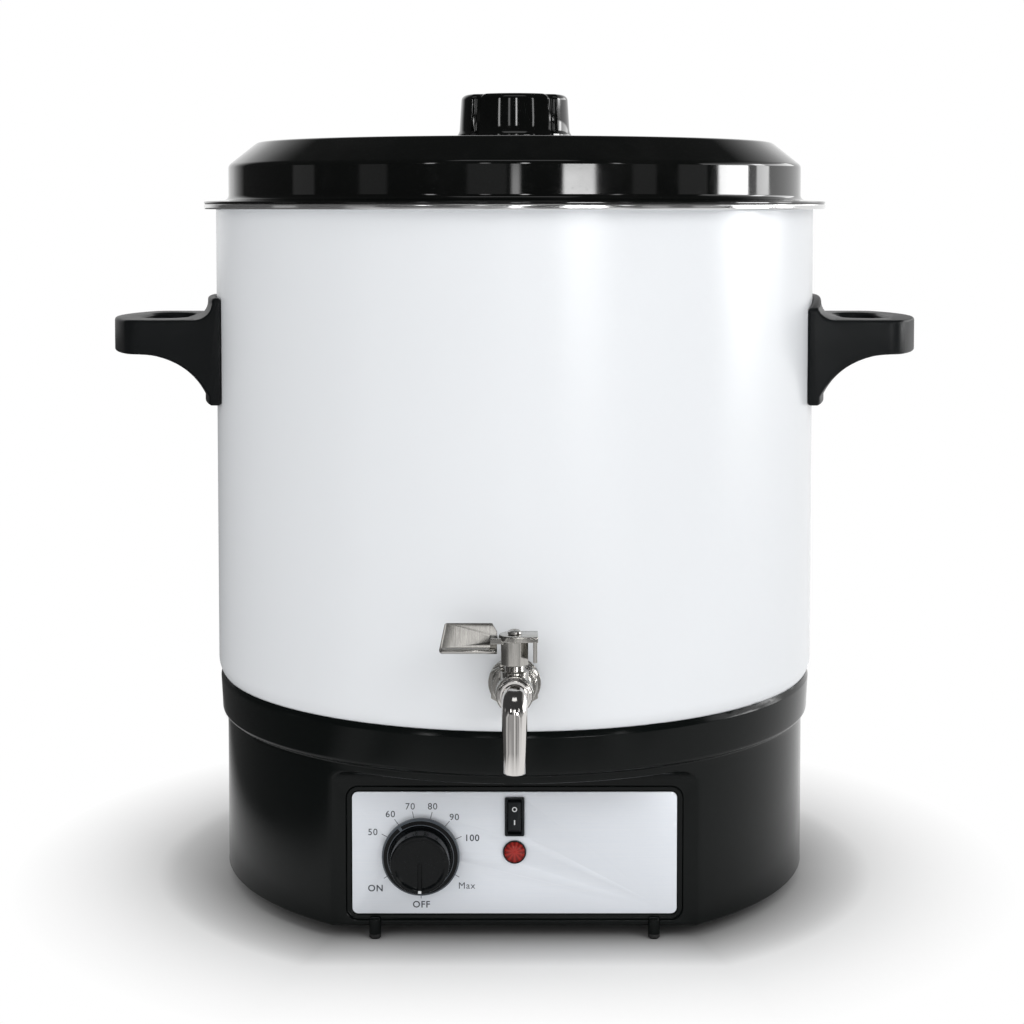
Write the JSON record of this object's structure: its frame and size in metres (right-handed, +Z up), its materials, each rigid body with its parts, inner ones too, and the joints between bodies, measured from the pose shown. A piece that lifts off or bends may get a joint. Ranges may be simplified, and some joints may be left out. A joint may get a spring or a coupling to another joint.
{
  "type": "candle wax melter",
  "caption": "Electric pot on a heated base for melting candle wax: enamelled round pot with a domed lid and knob, side handles, front lever tap and a control panel with dial, switch and light.",
  "frame": {"origin": "on the floor under the middle of the round pot, at the bottoms of the four feet", "axes": "+Z up along the pot's axis; the control panel and the tap face -Y; +X to the right of someone who faces the panel"},
  "size_m": [0.471, 0.4016, 0.457],
  "materials": {
    "pot_enamel": "gloss",
    "lid_black": "gloss",
    "base_black": "gloss",
    "handle_black": "satin",
    "rim_steel": "polished",
    "panel_silver": "satin",
    "dial_black": "gloss",
    "switch_black": "satin",
    "lens_red": "gloss",
    "rubber_black": "matte",
    "silicone_grey": "matte",
    "tap_steel": "polished",
    "fastener_steel": "satin",
    "heater_aluminium": "satin",
    "element_steel": "matte",
    "sheet_steel": "satin",
    "case_steel": "satin",
    "capillary_copper": "satin",
    "phenolic_black": "matte",
    "terminal_white": "matte",
    "gland_black": "satin",
    "seat_white": "satin"
  },
  "bodies": {
    "melter": {"base_shell": "base_black", "base_plate": "sheet_steel", "base_screws": "fastener_steel", "foot_tips": "rubber_black", "panel_plate": "panel_silver", "pot_seal": "rubber_black", "pot": "pot_enamel", "rim_trim": "rim_steel", "handle_left": "handle_black", "handle_right": "handle_black", "handle_screws": "fastener_steel", "handle_seals": "silicone_grey", "heater_plate": "heater_aluminium", "heating_element": "element_steel", "heat_shield": "sheet_steel", "shield_spacer": "sheet_steel", "base_spacer": "sheet_steel", "centre_stud": "fastener_steel", "centre_nut": "fastener_steel", "thermostat_body": "case_steel", "thermostat_screws": "fastener_steel", "thermostat_capillary": "capillary_copper", "thermal_cutout": "phenolic_black", "switch_housing": "switch_black", "pilot_housing": "switch_black", "pilot_lens": "lens_red", "pilot_clip": "fastener_steel", "terminal_block": "terminal_white", "cord_gland": "gland_black", "gland_nut": "gland_black", "tap_gasket": "rubber_black", "tap_washer": "tap_steel", "tap_body": "tap_steel", "tap_spout": "tap_steel", "valve_seats": "seat_white", "tap_inner_seal": "rubber_black", "tap_inner_nut": "tap_steel"},
    "lid": {"lid_shell": "lid_black", "lid_knob": "lid_black", "knob_washer": "fastener_steel", "knob_screw": "fastener_steel"},
    "lever": {"tap_lever": "tap_steel", "tap_stem": "tap_steel", "tap_lever_screw": "fastener_steel"},
    "dial": {"thermostat_dial": "dial_black", "thermostat_spindle": "fastener_steel"},
    "rocker": {"switch_rocker": "switch_black"}
  },
  "joints": [
    {"name": "lid_lift", "type": "slide", "parent": "melter", "child": "lid", "axis": [0, 0, 1], "range_m": [0, 0.15]},
    {"name": "tap_lever_turn", "type": "hinge", "parent": "melter", "child": "lever", "pos_m": [0, -0.197, 0.147], "axis": [0, 0, 1], "range_deg": [0, 90]},
    {"name": "dial_turn", "type": "hinge", "parent": "melter", "child": "dial", "pos_m": [-0.05, -0.1384, 0.045], "axis": [0, 1, 0], "range_deg": [0, 301]},
    {"name": "rocker_tilt", "type": "hinge", "parent": "melter", "child": "rocker", "pos_m": [0, -0.1358, 0.0657], "axis": [1, 0, 0], "range_deg": [0, 20]}
  ]
}
